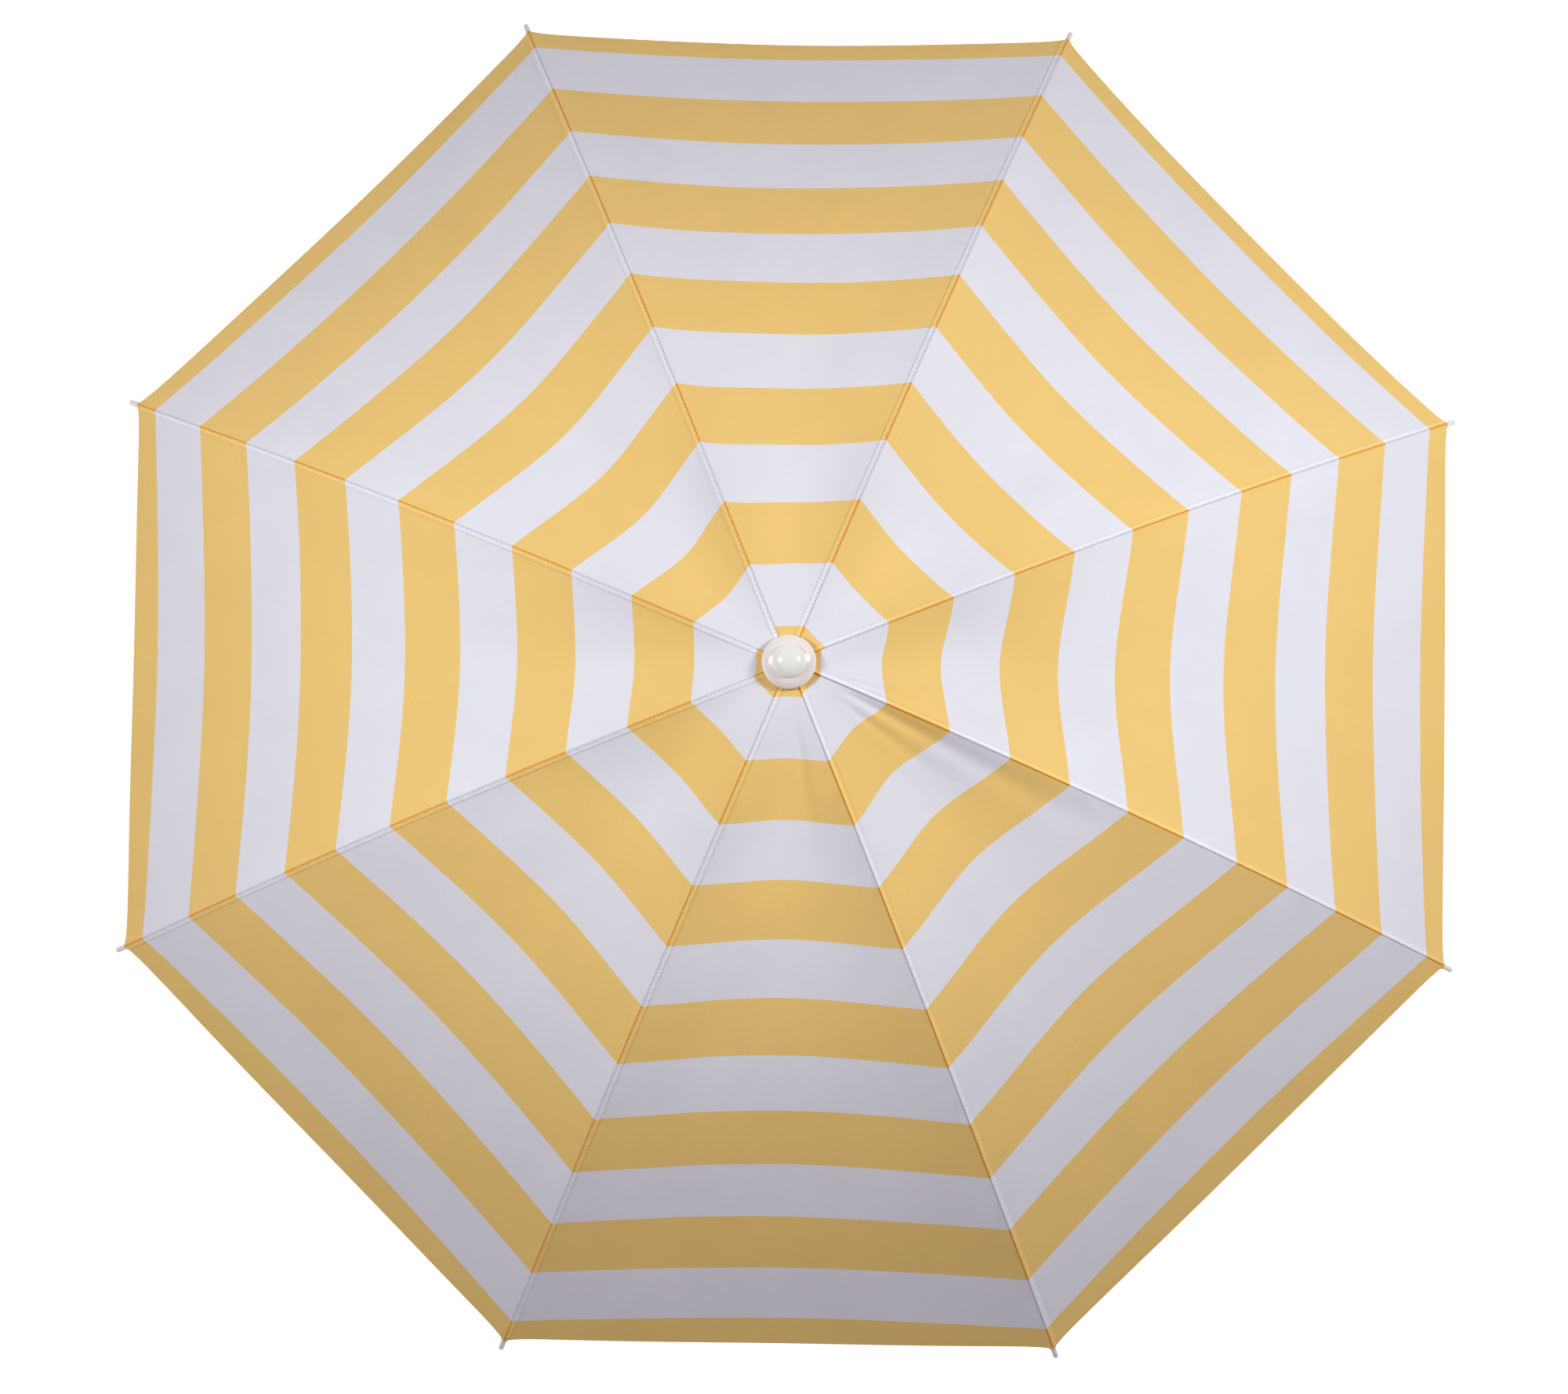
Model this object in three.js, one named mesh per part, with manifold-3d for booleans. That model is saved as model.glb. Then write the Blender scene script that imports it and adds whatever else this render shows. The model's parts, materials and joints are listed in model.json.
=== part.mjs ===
// Beach umbrella with eight ribs: a striped canopy, a folding frame, a tilting head and a two-part pole
// that ends in a sand spike. Millimetres, +Z up, the spike's point at the origin, the canopy open.
import * as THREE from 'three';
import { mergeVertices } from 'three/addons/utils/BufferGeometryUtils.js';
import Module from 'manifold-3d';

const wasm = await Module();
wasm.setup();

// ---- driving dimensions -------------------------------------------------------------------------
const RIBS = 8;
const REACH = 830;            // from the pole's axis to the end of a rib tip
const APEX = 2030;            // height of the canopy's top
const CROWN_SLOPE = 2;        // degrees, the seam's slope at the top
const HEM_SLOPE = 34;         // degrees, the seam's slope at the hem
const HEM_REACH = 819;        // from the axis to the canopy's corner on a rib
const FABRIC_HOLE = 14;       // radius of the hole under the finial
const FABRIC_DROP = 1.2;      // height of a panel's edge
const PANEL_SAG = 26;         // the deepest sag of a panel below its two ribs
const SAG_START = 0.02;       // the shares of the seam between which the sag sets in
const SAG_FULL = 0.28;
const SAG_LOSS = 0.55;        // how much of the sag is gone at the hem
const SEAM_GAP = 0.5;         // from a panel's side to the seam's middle

const RIB_RADIUS = 2.5;
const RIB_DEPTH = 5.8;        // from the fabric's top to a rib's centre
const RIB_EYE_DEPTH = 9.2;    // the same at the rib's eye, which sits deeper in the crown
const RIB_RISE_LENGTH = 60;   // the stretch in which the rib rises from one depth to the other
const TIP_RADIUS = 3.5;
const TIP_LENGTH = 30;
const STRETCHER_RADIUS = 2;
const PIVOT_REACH = 20;       // from the axis to the ribs' pivots in the crown
const PIVOT_DEPTH = 10;       // from the canopy's top down to them
const CLIP_REACH = 417;       // from the axis to the rib's clip
const CLIP_DROP = 7;          // from the rib's centre to the stretcher's pivot
const RUNNER_DEPTH = 245;     // from the canopy's top to the stretchers' inner pivots
const RUNNER_RING = 17;       // radius of the runner's wire ring
const OPEN_PIVOT_GAP = 8;     // from the runner's ring to a stretcher's inner end

const POLE_RADIUS = 11;       // upper and inner pole
const POLE_WALL = 1.2;
const LOWER_RADIUS = 14;
const LOWER_WALL = 1.6;
const TILT_Z = 1060;          // the tilt joint's axis
const KNUCKLE_RADIUS = 13;
const COLLAR_TOP = 770;
const SPIKE_TOP = 120;
const INNER_POLE_FOOT = 430;
const FINIAL_RADIUS = 30.5;
const DOME_RADIUS = 19;       // the upper part of the finial
const FIT = 0.3;              // gap between pieces that touch

const STEP_AZIMUTH = 2 * Math.PI / RIBS;
const HALF_GORE = STEP_AZIMUTH / 2;

// ---- the seam's profile -------------------------------------------------------------------------
const PROFILE_STEPS = 2000;

/** Slope of the seam, in radians, at a share t of its length. */
function slope(t) {
  const degrees = CROWN_SLOPE + (HEM_SLOPE - CROWN_SLOPE) * (1 - Math.cos(Math.PI * t)) / 2;
  return THREE.MathUtils.degToRad(degrees);
}

/** Radius and height of the seam at even shares of its length, from the axis to REACH. */
function seamTable() {
  const table = [{ r: 0, z: 0 }];
  for (let i = 0; i < PROFILE_STEPS; i += 1) {
    const a = slope((i + 0.5) / PROFILE_STEPS);
    const last = table[i];
    table.push({ r: last.r + Math.cos(a), z: last.z - Math.sin(a) });
  }
  const scale = REACH / table[PROFILE_STEPS].r;
  return table.map(({ r, z }) => ({ r: r * scale, z: z * scale }));
}

const seam = seamTable();

/** The seam's point at a share t of its length. */
function seamAt(t) {
  const x = Math.min(Math.max(t, 0), 1) * PROFILE_STEPS;
  const i = Math.min(Math.floor(x), PROFILE_STEPS - 1);
  const f = x - i;
  return {
    r: seam[i].r + f * (seam[i + 1].r - seam[i].r),
    z: seam[i].z + f * (seam[i + 1].z - seam[i].z),
  };
}

/** The share t at which the seam reaches a radius. */
function shareAt(radius) {
  const i = seam.findIndex((p) => p.r >= radius);
  const f = (radius - seam[i - 1].r) / (seam[i].r - seam[i - 1].r);
  return (i - 1 + f) / PROFILE_STEPS;
}

/** A rib's centre line in its own radial plane: x outward, z up from the canopy's top. */
function ribAt(radius) {
  const t = shareAt(radius);
  const a = slope(t);
  const blend = THREE.MathUtils.smoothstep(radius, PIVOT_REACH, PIVOT_REACH + RIB_RISE_LENGTH);
  const depth = RIB_EYE_DEPTH * (1 - blend) + RIB_DEPTH * blend;
  const p = seamAt(t);
  return new THREE.Vector3(p.r - depth * Math.sin(a), 0, p.z - depth * Math.cos(a));
}

// ---- solids -------------------------------------------------------------------------------------
/** A geometry with merged vertices, no degenerate triangles, and its faces pointing out. */
function tidied(geometry) {
  const plain = geometry.clone();
  plain.deleteAttribute('normal');
  plain.deleteAttribute('uv');
  const merged = mergeVertices(plain, 1e-4);
  const p = merged.attributes.position;
  const index = [];
  let volume = 0;
  const [a, b, c] = [new THREE.Vector3(), new THREE.Vector3(), new THREE.Vector3()];
  for (let i = 0; i < merged.index.count; i += 3) {
    const [i0, i1, i2] = [merged.index.getX(i), merged.index.getX(i + 1), merged.index.getX(i + 2)];
    if (i0 !== i1 && i1 !== i2 && i2 !== i0) {
      index.push(i0, i1, i2);
      a.fromBufferAttribute(p, i0);
      b.fromBufferAttribute(p, i1);
      c.fromBufferAttribute(p, i2);
      volume += a.dot(b.cross(c));
    }
  }
  merged.setIndex(volume < 0 ? index.reverse() : index);
  return merged;
}

/** A three.js geometry as a manifold solid. */
function solid(geometry) {
  const g = tidied(geometry);
  const vertProperties = new Float32Array(g.attributes.position.array);
  const triVerts = new Uint32Array(g.index.array);
  return new wasm.Manifold(new wasm.Mesh({ numProp: 3, vertProperties, triVerts }));
}

/** A manifold solid as a three.js geometry. */
function geometryOf(manifold) {
  const mesh = manifold.getMesh();
  const geometry = new THREE.BufferGeometry();
  geometry.setAttribute('position', new THREE.BufferAttribute(new Float32Array(mesh.vertProperties), 3));
  geometry.setIndex([...mesh.triVerts]);
  return geometry;
}

function joined(first, ...others) {
  return others.reduce((whole, g) => whole.add(solid(g)), solid(first));
}

function cut(body, ...tools) {
  return tools.reduce((left, g) => left.subtract(solid(g)), body);
}

/** Points of an arc in a profile, from angle a0 to a1 in degrees. */
function arc(cx, cy, radius, a0, a1, steps) {
  return Array.from({ length: steps + 1 }, (_, i) => {
    const a = THREE.MathUtils.degToRad(a0 + (a1 - a0) * i / steps);
    return [cx + radius * Math.cos(a), cy + radius * Math.sin(a)];
  });
}

/** A profile of [radius, z] points turned about the Z axis. */
function turned(profile, sides = 24) {
  const points = profile.map(([r, z]) => new THREE.Vector2(r, z));
  return new THREE.LatheGeometry(points, sides).rotateX(Math.PI / 2);
}

function pipe(outer, inner, z0, z1, sides = 24) {
  return turned([[inner, z0], [outer, z0], [outer, z1], [inner, z1], [inner, z0]], sides);
}

/** A round bar from point a to point b. */
function bar(a, b, radius, sides = 8) {
  const along = new THREE.Vector3().subVectors(b, a);
  const up = new THREE.Vector3(0, 1, 0);
  const turn = new THREE.Quaternion().setFromUnitVectors(up, along.clone().normalize());
  return new THREE.CylinderGeometry(radius, radius, along.length(), sides)
    .applyQuaternion(turn)
    .translate((a.x + b.x) / 2, (a.y + b.y) / 2, (a.z + b.z) / 2);
}

/** A bar with a length along Y, centred on a point of the radial plane. */
function crossBar(x, z, radius, length, sides = 12) {
  return new THREE.CylinderGeometry(radius, radius, length, sides).translate(x, 0, z);
}

/** A plate with a capsule outline between two points of the XZ plane, centred on the given y. */
function capsulePlate(a, b, radius, thickness, y = 0) {
  const angle = THREE.MathUtils.radToDeg(Math.atan2(b.z - a.z, b.x - a.x));
  const outline = [
    ...arc(b.x, b.z, radius, angle - 90, angle + 90, 6),
    ...arc(a.x, a.z, radius, angle + 90, angle + 270, 6),
  ].map(([x, z]) => new THREE.Vector2(x, z));
  return new THREE.ExtrudeGeometry(new THREE.Shape(outline), { depth: thickness, bevelEnabled: false })
    .rotateX(Math.PI / 2)
    .translate(0, y + thickness / 2, 0);
}

function block(x0, x1, y0, y1, z0, z1) {
  return new THREE.BoxGeometry(x1 - x0, y1 - y0, z1 - z0)
    .translate((x0 + x1) / 2, (y0 + y1) / 2, (z0 + z1) / 2);
}

// ---- the assembly -------------------------------------------------------------------------------
const umbrella = new THREE.Group();
const canopyFrame = new THREE.Group();
canopyFrame.position.z = APEX;
umbrella.add(canopyFrame);

const FINISH = {
  yellow: { color: 0xe3c170, roughness: 0.85, metalness: 0 },
  white: { color: 0xe6e6ee, roughness: 0.85, metalness: 0 },
  pearl: { color: 0xeef0ea, roughness: 0.25, metalness: 0 },
  plastic: { color: 0xf2f2f2, roughness: 0.45, metalness: 0 },
  fibreglass: { color: 0xe9e9e6, roughness: 0.5, metalness: 0 },
  enamel: { color: 0xf4f4f2, roughness: 0.35, metalness: 0.1 },
  steel: { color: 0xb9bcc0, roughness: 0.35, metalness: 0.9 },
};

function place(name, shape, finish, { azimuth = 0, parent = umbrella } = {}) {
  const geometry = shape.isBufferGeometry ? tidied(shape) : geometryOf(shape);
  geometry.computeVertexNormals();
  const mesh = new THREE.Mesh(geometry, new THREE.MeshStandardMaterial(FINISH[finish]));
  mesh.name = name;
  mesh.rotation.z = azimuth;
  parent.add(mesh);
}

// ---- canopy -------------------------------------------------------------------------------------
/** How far a panel hangs below its ribs' chord at a share t of the seam, at the panel's middle. */
function sagAt(t) {
  return PANEL_SAG * THREE.MathUtils.smoothstep(t, SAG_START, SAG_FULL) * (1 - SAG_LOSS * t ** 3);
}

/** A point of the panel's top: t along the seam, u from -1 to 1 across. */
function panelPoint(t, u) {
  const { r, z } = seamAt(t);
  const halfChord = r * Math.sin(HALF_GORE);
  const across = u * (halfChord - SEAM_GAP);
  const sag = sagAt(t) * (1 - u * u);
  const a = Math.atan2(Math.tan(slope(t)), Math.cos(HALF_GORE));
  return [r * Math.cos(HALF_GORE) - sag * Math.sin(a), across, z - sag * Math.cos(a)];
}

function panel() {
  const rows = 14;
  const columns = 6;
  const t0 = shareAt(FABRIC_HOLE);
  const t1 = shareAt(HEM_REACH);
  const position = [];
  for (const drop of [0, FABRIC_DROP]) {
    for (let i = 0; i <= rows; i += 1) {
      for (let j = 0; j <= columns; j += 1) {
        const t = t0 + (t1 - t0) * (i / rows) ** 1.5;
        const [x, y, z] = panelPoint(t, -1 + 2 * j / columns);
        position.push(x, y, z - drop);
      }
    }
  }
  const under = (rows + 1) * (columns + 1);
  const at = (i, j) => i * (columns + 1) + j;
  const index = [];
  const quad = (a, b, c, d) => index.push(a, b, c, a, c, d);
  for (let i = 0; i < rows; i += 1) {
    for (let j = 0; j < columns; j += 1) {
      const [a, b, c, d] = [at(i, j), at(i + 1, j), at(i + 1, j + 1), at(i, j + 1)];
      quad(a, b, c, d);
      quad(under + a, under + d, under + c, under + b);
    }
    quad(at(i + 1, 0), at(i, 0), under + at(i, 0), under + at(i + 1, 0));
    quad(at(i, columns), at(i + 1, columns), under + at(i + 1, columns), under + at(i, columns));
  }
  for (let j = 0; j < columns; j += 1) {
    quad(at(0, j), at(0, j + 1), under + at(0, j + 1), under + at(0, j));
    quad(at(rows, j + 1), at(rows, j), under + at(rows, j), under + at(rows, j + 1));
  }
  const geometry = new THREE.BufferGeometry();
  geometry.setAttribute('position', new THREE.Float32BufferAttribute(position, 3));
  geometry.setIndex(index);
  return geometry;
}

// ---- ribs and stretchers, in their own radial plane ---------------------------------------------
const ribPivot = new THREE.Vector3(PIVOT_REACH, 0, -PIVOT_DEPTH);
const tipSlope = slope(1);
const tipEnd = ribAt(REACH - 4);
const tipAlong = new THREE.Vector3(Math.cos(tipSlope), 0, -Math.sin(tipSlope));
tipEnd.addScaledVector(tipAlong, (REACH - tipEnd.x) / tipAlong.x);

const clipSlope = slope(shareAt(CLIP_REACH));
const clipPivot = ribAt(CLIP_REACH)
  .add(new THREE.Vector3(-Math.sin(clipSlope), 0, -Math.cos(clipSlope)).multiplyScalar(CLIP_DROP));
const runnerPivot = new THREE.Vector3(RUNNER_RING, 0, -RUNNER_DEPTH);
const stretcherAlong = new THREE.Vector3().subVectors(runnerPivot, clipPivot).normalize();
const WIRE_RADIUS = 1;
const WIRE_HOLE = 1.4;
const RIVET_RADIUS = 1.1;
const RIVET_HOLE = 1.45;
const RIVET_HEAD_RADIUS = 2.2;
const RIVET_HEAD = 0.9;       // thickness of a rivet's head
const EYE_RADIUS = 4;
const EYE_THICKNESS = 3;
const TONGUE_RADIUS = 2.2;    // half the height of the neck between a rib's eye and its rod
const CLIP_RADIUS = 3.2;
const CLIP_THICKNESS = 2;
const CHEEK_THICKNESS = 1.2;  // of each side of a stretcher's fork
const ROD_START = 12;         // from a rib's pivot to its rod
const TIP_COVER = 18;         // how much of a rib tip stays free of the rod

class RibLine extends THREE.Curve {
  getPoint(share, target = new THREE.Vector3()) {
    const start = PIVOT_REACH + ROD_START;
    const end = tipEnd.x - (TIP_LENGTH - TIP_COVER) * tipAlong.x;
    return target.copy(ribAt(start + (end - start) * share));
  }
}

function rib() {
  const sides = 8;
  const section = Array.from({ length: sides }, (_, i) => {
    const a = (i + 0.5) * 2 * Math.PI / sides;
    return new THREE.Vector2(RIB_RADIUS * Math.cos(a), RIB_RADIUS * Math.sin(a));
  });
  const rod = new THREE.ExtrudeGeometry(new THREE.Shape(section), { steps: 14, extrudePath: new RibLine() });
  const neck = ribAt(PIVOT_REACH + ROD_START + 4);
  const eye = capsulePlate(ribPivot, ribPivot, EYE_RADIUS, EYE_THICKNESS);
  const tongue = capsulePlate(ribPivot, neck, TONGUE_RADIUS, EYE_THICKNESS);
  const clip = capsulePlate(clipPivot, ribAt(CLIP_REACH), CLIP_RADIUS, CLIP_THICKNESS);
  return cut(
    joined(rod, eye, tongue, clip),
    crossBar(ribPivot.x, ribPivot.z, WIRE_HOLE, 12),
    crossBar(clipPivot.x, clipPivot.z, RIVET_HOLE, 12),
  );
}

/** A rod with a fork: two cheeks on either side of the rib's clip, joined by a web behind it. */
function stretcher() {
  const from = (distance) => clipPivot.clone().addScaledVector(stretcherAlong, distance);
  const length = runnerPivot.distanceTo(clipPivot) - OPEN_PIVOT_GAP;
  const cheekY = CLIP_THICKNESS / 2 + FIT + CHEEK_THICKNESS / 2;
  return cut(
    joined(
      capsulePlate(from(0), from(13), 4, CHEEK_THICKNESS, cheekY),
      capsulePlate(from(0), from(13), 4, CHEEK_THICKNESS, -cheekY),
      capsulePlate(from(8.7), from(15), 3.7, 2 * cheekY + CHEEK_THICKNESS / 2),
      bar(from(12), from(length), STRETCHER_RADIUS),
    ),
    crossBar(clipPivot.x, clipPivot.z, RIVET_HOLE, 12),
  );
}

/** A rivet through the clip and the fork, with a head on each side. */
function rivet() {
  const half = CLIP_THICKNESS / 2 + FIT + CHEEK_THICKNESS + FIT;
  const head = (side) => crossBar(clipPivot.x, clipPivot.z, RIVET_HEAD_RADIUS, RIVET_HEAD)
    .translate(0, side * (half + RIVET_HEAD / 2), 0);
  return joined(crossBar(clipPivot.x, clipPivot.z, RIVET_RADIUS, 2 * half + 1), head(1), head(-1));
}

/** A plastic cap over the rib's end, turned about its own axis and then laid along the rib. */
function ribTip() {
  const bore = RIB_RADIUS + FIT;
  const profile = [
    [0, -11], [bore, -11], [bore, -TIP_LENGTH], [TIP_RADIUS - 0.2, -TIP_LENGTH], [TIP_RADIUS, -14],
    ...arc(TIP_RADIUS - 2.6, -2.6, 2.6, 0, 90, 4), [0, 0],
  ];
  return turned(profile, 12).rotateY(Math.PI / 2 + tipSlope).translate(tipEnd.x, tipEnd.y, tipEnd.z);
}

/** A wire ring of the given radius at a height. */
function wireRing(radius, z, wire) {
  return new THREE.TorusGeometry(radius, wire, 6, 24).translate(0, 0, z);
}

for (let k = 0; k < RIBS; k += 1) {
  const gore = { azimuth: k * STEP_AZIMUTH, parent: canopyFrame };
  const arm = { azimuth: (k + 0.5) * STEP_AZIMUTH, parent: canopyFrame };
  place(`gore_${k + 1}`, panel(), 'yellow', gore);
  place(`rib_${k + 1}`, rib(), 'fibreglass', arm);
  place(`rib_tip_${k + 1}`, ribTip(), 'plastic', arm);
  place(`stretcher_${k + 1}`, stretcher(), 'fibreglass', arm);
  place(`clip_rivet_${k + 1}`, rivet(), 'steel', arm);
}

// ---- crown, finial and runner -------------------------------------------------------------------
/** Eight slots around the axis, from an inner radius outward. */
function slots(width, from, to, z0, z1) {
  return Array.from({ length: RIBS }, (_, k) => block(from, to, -width / 2, width / 2, z0, z1)
    .rotateZ((k + 0.5) * STEP_AZIMUTH));
}

function crown() {
  const top = -3.3;
  const body = turned([
    [2.8, top], [2.8, -9], [POLE_RADIUS + FIT, -9], [POLE_RADIUS + FIT, -52], [14.4, -52],
    [15, -50], [15, -17], [25.5, -17], [27, -15.5], [27, top - 1], [26, top], [2.8, top],
  ]);
  return cut(
    solid(body),
    ...slots(EYE_THICKNESS + 0.8, 15.4, 40, -18, -5.5),
    wireRing(PIVOT_REACH, -PIVOT_DEPTH, WIRE_HOLE),
  );
}

/** Points of a quarter ellipse, from its rim to a given radius near its top. */
function quarterEllipse(reach, height, z, innerRadius, steps) {
  const last = Math.acos(innerRadius / reach);
  return Array.from({ length: steps + 1 }, (_, i) => {
    const a = last * i / steps;
    return [reach * Math.cos(a), z + height * Math.sin(a)];
  });
}

/** A pearl cap: a flat bulb with a dome on it, on a stud that enters the crown. */
function finial() {
  const foot = 0.5;
  return turned([
    [0, -20], [2.2, -20], [2.2, foot], [FINIAL_RADIUS - 1.5, foot],
    ...quarterEllipse(FINIAL_RADIUS, 14, foot + 3, DOME_RADIUS + 0.6, 6),
    ...quarterEllipse(DOME_RADIUS, 12.4, foot + 14.2, 0, 5).slice(0, -1),
    [0, foot + 26.6],
  ]);
}

const CATCH_HALF_WIDTH = 6;   // half the width across the catch's two ears
const LEVER_PIVOT_X = 20.5;
const LEVER_PIVOT_Z = -32;
const CATCH_PIN_RADIUS = 1.3;
const CATCH_HOLE = 1.6;       // radius of the pin's holes
const CATCH_PIN_LENGTH = 13;

function runner() {
  const bore = POLE_RADIUS + 0.4;
  const body = turned([
    [bore, -62], [15.6, -62], [16.6, -61], [16.6, -56], [14, -54],
    [14, -8], [27.6, -8], [29, -6.6], [29, 6.6],
    [27.6, 8], [14, 8], [13.4, 14], [bore, 14], [bore, -62],
  ]);
  const ears = [-1, 1].map((side) => capsulePlate(
    new THREE.Vector3(13, 0, LEVER_PIVOT_Z), new THREE.Vector3(LEVER_PIVOT_X, 0, LEVER_PIVOT_Z),
    4, 2, side * (CATCH_HALF_WIDTH - 1),
  ));
  return cut(
    joined(body, ...ears),
    ...slots(2 * STRETCHER_RADIUS + 1, 15.4, 40, -9, 9),
    wireRing(RUNNER_RING, 0, WIRE_HOLE - 0.1),
    block(10, 15, -3.6, 3.6, -28, -18),
    turned([[0, -64], [bore, -64], [bore, 20], [0, 20]]),
    crossBar(LEVER_PIVOT_X, LEVER_PIVOT_Z, CATCH_HOLE, 20),
  );
}

/** The thumb lever: a pad below its pin and a tooth above it that reaches through the runner. */
function catchLever() {
  const reach = POLE_RADIUS + 0.6;
  const at = (x, z) => new THREE.Vector3(x, 0, z);
  return cut(
    joined(
      capsulePlate(at(LEVER_PIVOT_X, LEVER_PIVOT_Z), at(LEVER_PIVOT_X + 0.6, -23), 3, 7),
      block(reach, LEVER_PIVOT_X + 1.5, -3, 3, -25.5, -20.5),
      capsulePlate(at(LEVER_PIVOT_X, LEVER_PIVOT_Z), at(24.5, -50), 2.2, 7),
      capsulePlate(at(24.5, -47), at(26, -55), 2.2, 12),
    ),
    crossBar(LEVER_PIVOT_X, LEVER_PIVOT_Z, CATCH_HOLE, 20),
  );
}

place('crown', crown(), 'plastic', { parent: canopyFrame });
place('crown_ring', wireRing(PIVOT_REACH, -PIVOT_DEPTH, WIRE_RADIUS), 'steel', { parent: canopyFrame });
place('finial', finial(), 'pearl', { parent: canopyFrame });

const runnerGroup = new THREE.Group();
runnerGroup.position.z = -RUNNER_DEPTH;
canopyFrame.add(runnerGroup);
place('runner', runner(), 'plastic', { parent: runnerGroup });
place('runner_ring', wireRing(RUNNER_RING, 0, WIRE_RADIUS - 0.1), 'steel', { parent: runnerGroup });
place('catch_lever', catchLever(), 'plastic', { parent: runnerGroup });
const catchPin = crossBar(LEVER_PIVOT_X, LEVER_PIVOT_Z, CATCH_PIN_RADIUS, CATCH_PIN_LENGTH);
place('catch_pin', catchPin, 'steel', { parent: runnerGroup });

// ---- poles and the tilt joint -------------------------------------------------------------------
const SOCKET_GAP = 16;        // from the tilt axis to each knuckle's body
const SOCKET_RADIUS = 15.5;   // outside of both knuckles' sockets
const SOCKET_BORE = POLE_RADIUS + FIT;
const SOCKET_FLOOR = 5.6;     // thickness of a socket's closed end
const TONGUE_HALF = 5;        // half the thickness of the upper knuckle's lug
const CHEEK_GAP = 0.4;
const CHEEK_OUTER = 11.5;     // from the middle to a cheek's outer face
const TILT_PIN_RADIUS = 3;
const TILT_PIN_HOLE = 3.4;
const TILT_PIN_LENGTH = 26;
const TILT_HEAD_RADIUS = 5;
const TILT_HEAD = 2;          // thickness of the pin's heads
const upperFoot = TILT_Z + SOCKET_GAP + 6;
const innerTop = TILT_Z - SOCKET_GAP - 6;

place('upper_pole', pipe(POLE_RADIUS, POLE_RADIUS - POLE_WALL, upperFoot, APEX - 10), 'enamel');
place('inner_pole', pipe(POLE_RADIUS, POLE_RADIUS - POLE_WALL, INNER_POLE_FOOT, innerTop), 'steel');

/** A rounded lug in the YZ plane between two x values, around the tilt axis. */
function lug(x0, x1, rootZ) {
  const z = TILT_Z;
  const disc = new THREE.CylinderGeometry(KNUCKLE_RADIUS, KNUCKLE_RADIUS, x1 - x0, 24)
    .rotateZ(Math.PI / 2)
    .translate((x0 + x1) / 2, 0, z);
  const half = KNUCKLE_RADIUS - 2;
  const root = block(x0, x1, -half, half, Math.min(z, rootZ), Math.max(z, rootZ));
  return [disc, root];
}

/** A bar along the tilt axis, centred on the given x. */
function tiltBar(radius, length, x = 0) {
  return new THREE.CylinderGeometry(radius, radius, length, 16).rotateZ(Math.PI / 2).translate(x, 0, TILT_Z);
}

function tiltHead() {
  const foot = TILT_Z + SOCKET_GAP;
  const rim = foot + 40;
  const socket = turned([
    [0, foot], [SOCKET_RADIUS - 1.5, foot], [SOCKET_RADIUS, foot + 2],
    [SOCKET_RADIUS, rim - 2], [SOCKET_RADIUS - 1, rim],
    [SOCKET_BORE, rim], [SOCKET_BORE, foot + SOCKET_FLOOR], [0, foot + SOCKET_FLOOR],
  ]);
  return cut(joined(socket, ...lug(-TONGUE_HALF, TONGUE_HALF, foot + 1)), tiltBar(TILT_PIN_HOLE, 60));
}

const BUTTON_Z = TILT_Z - SOCKET_GAP - 16;

function tiltFork() {
  const top = TILT_Z - SOCKET_GAP;
  const rim = top - 30;
  const socket = turned([
    [0, top - SOCKET_FLOOR], [SOCKET_BORE, top - SOCKET_FLOOR], [SOCKET_BORE, rim],
    [SOCKET_RADIUS - 1, rim], [SOCKET_RADIUS, rim + 2],
    [SOCKET_RADIUS, top - 2], [SOCKET_RADIUS - 1.5, top], [0, top],
  ]);
  const near = TONGUE_HALF + CHEEK_GAP;
  const cheeks = [lug(near, CHEEK_OUTER, top - 1), lug(-CHEEK_OUTER, -near, top - 1)];
  const bore = turned([
    [0, top - SOCKET_FLOOR], [SOCKET_BORE, top - SOCKET_FLOOR], [SOCKET_BORE, rim - 10], [0, rim - 10],
  ]);
  const housing = buttonBar(7, 12, 21);
  const body = joined(socket, ...cheeks.flat(), housing);
  return cut(body, tiltBar(TILT_PIN_HOLE, 60), bore, buttonBar(4.6, 10, 40));
}

/** A bar along -Y at the button's height, from one distance to another. */
function buttonBar(radius, near, far) {
  return bar(new THREE.Vector3(0, -near, BUTTON_Z), new THREE.Vector3(0, -far, BUTTON_Z), radius, 16);
}

place('tilt_head', tiltHead(), 'plastic');
place('tilt_fork', tiltFork(), 'plastic');
place('tilt_button', joined(buttonBar(4.2, 15.2, 23.4), buttonBar(3.4, 23, 24.4)), 'steel');

/** A pin with a head against each cheek of the fork. */
function tiltPin() {
  const head = CHEEK_OUTER + CHEEK_GAP + TILT_HEAD / 2;
  return joined(
    tiltBar(TILT_PIN_RADIUS, TILT_PIN_LENGTH),
    tiltBar(TILT_HEAD_RADIUS, TILT_HEAD, head),
    tiltBar(TILT_HEAD_RADIUS, TILT_HEAD, -head),
  );
}

place('tilt_pin', tiltPin(), 'steel');

const SCREW_Z = COLLAR_TOP - 24;
const LOWER_TOP = COLLAR_TOP - 6;

/** A bar along -Y at the wing screw's height. */
function screwBar(radius, near, far, sides = 16) {
  return bar(new THREE.Vector3(0, -near, SCREW_Z), new THREE.Vector3(0, -far, SCREW_Z), radius, sides);
}

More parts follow.
